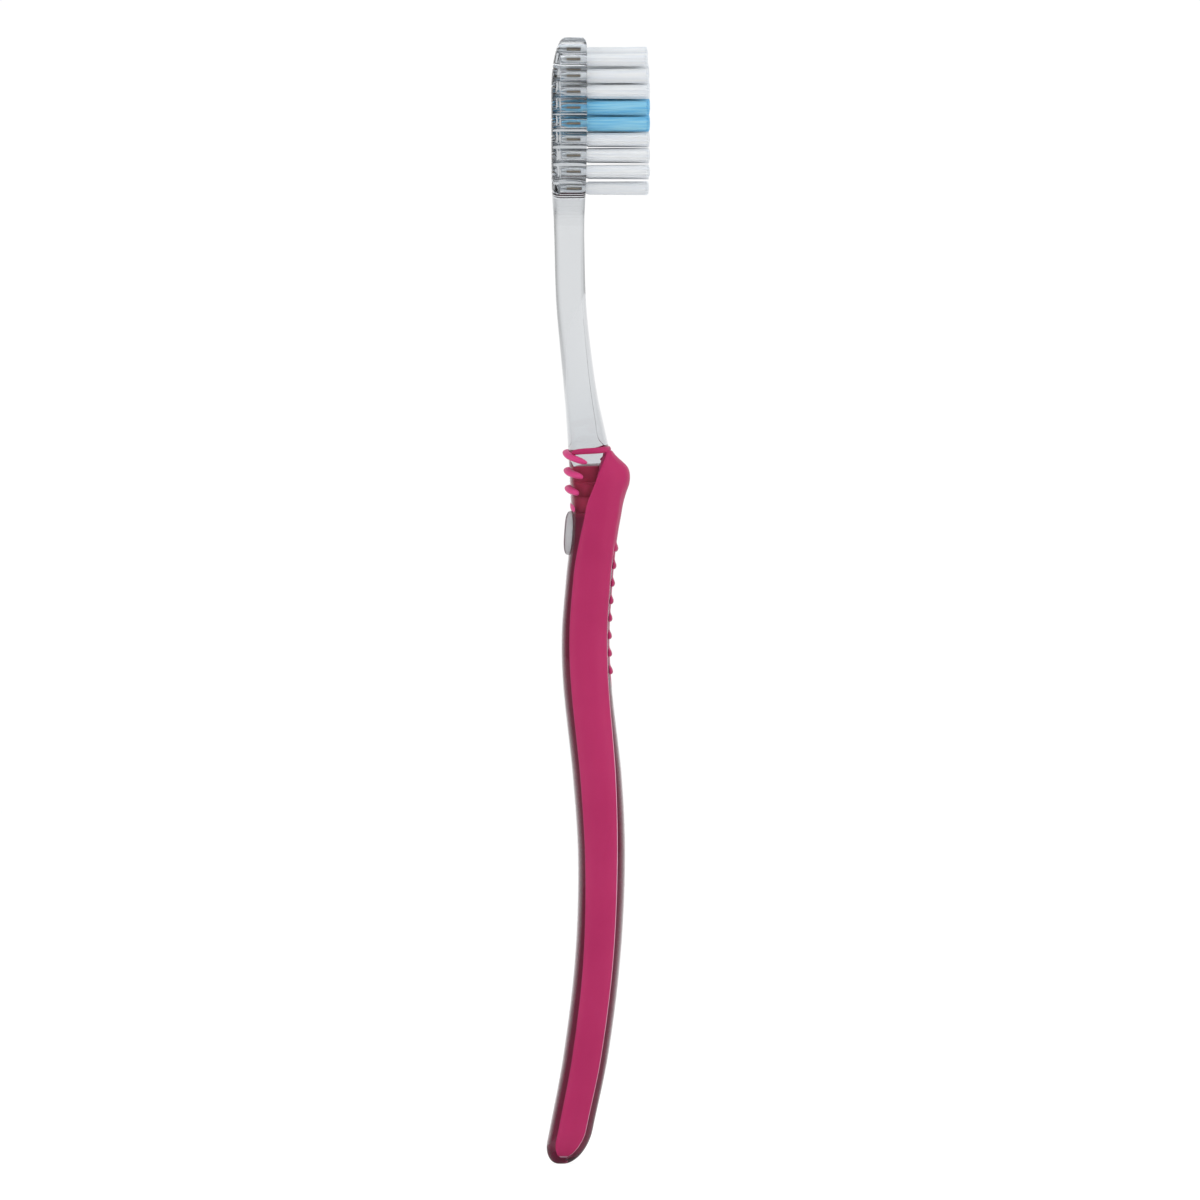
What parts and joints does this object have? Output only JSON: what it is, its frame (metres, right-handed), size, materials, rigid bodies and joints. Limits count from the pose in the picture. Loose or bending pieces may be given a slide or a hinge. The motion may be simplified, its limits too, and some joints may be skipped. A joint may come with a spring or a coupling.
{
  "type": "manual toothbrush",
  "caption": "Manual toothbrush: clear S-curved body, soft magenta side grips, ribbed thumb rest, finger ribs and a flat-trimmed head of white and blue tufts.",
  "frame": {"origin": "centre of the bounding box at the bottom of the heel, with the brush upright", "axes": "+Z from the heel to the tip of the head, +X the way the bristles point, +Y across the width; the brush is symmetric about Y = 0"},
  "size_m": [0.0174, 0.0138, 0.19],
  "materials": {
    "clear_plastic": "clear moulded copolyester, polished",
    "soft_grip": "magenta thermoplastic elastomer, satin",
    "white_bristle": "white nylon filament",
    "blue_bristle": "blue nylon filament",
    "anchor_metal": "flat drawn wire, cut edges"
  },
  "bodies": {
    "root": {"finger_rib_1": "soft_grip", "finger_rib_2": "soft_grip", "finger_rib_3": "soft_grip", "finger_rib_4": "soft_grip", "grip_collar": "soft_grip", "grip_core": "soft_grip", "handle_body": "clear_plastic", "side_grip_left": "soft_grip", "side_grip_right": "soft_grip", "thumb_rest": "soft_grip", "tuft_1a": "white_bristle", "tuft_1b": "white_bristle", "tuft_1c": "white_bristle", "tuft_1d": "white_bristle", "tuft_2a": "white_bristle", "tuft_2b": "white_bristle", "tuft_2c": "white_bristle", "tuft_2d": "white_bristle", "tuft_3a": "white_bristle", "tuft_3b": "white_bristle", "tuft_3c": "white_bristle", "tuft_3d": "white_bristle", "tuft_4a": "blue_bristle", "tuft_4b": "blue_bristle", "tuft_4c": "blue_bristle", "tuft_4d": "blue_bristle", "tuft_5a": "blue_bristle", "tuft_5b": "blue_bristle", "tuft_5c": "blue_bristle", "tuft_5d": "blue_bristle", "tuft_6a": "white_bristle", "tuft_6b": "white_bristle", "tuft_6c": "white_bristle", "tuft_6d": "white_bristle", "tuft_7a": "white_bristle", "tuft_7b": "white_bristle", "tuft_7c": "white_bristle", "tuft_7d": "white_bristle", "tuft_8a": "white_bristle", "tuft_8b": "white_bristle", "tuft_8c": "white_bristle", "tuft_8d": "white_bristle", "tuft_9a": "white_bristle", "tuft_9b": "white_bristle", "tuft_9c": "white_bristle", "tuft_anchors": "anchor_metal"}
  },
  "joints": []
}
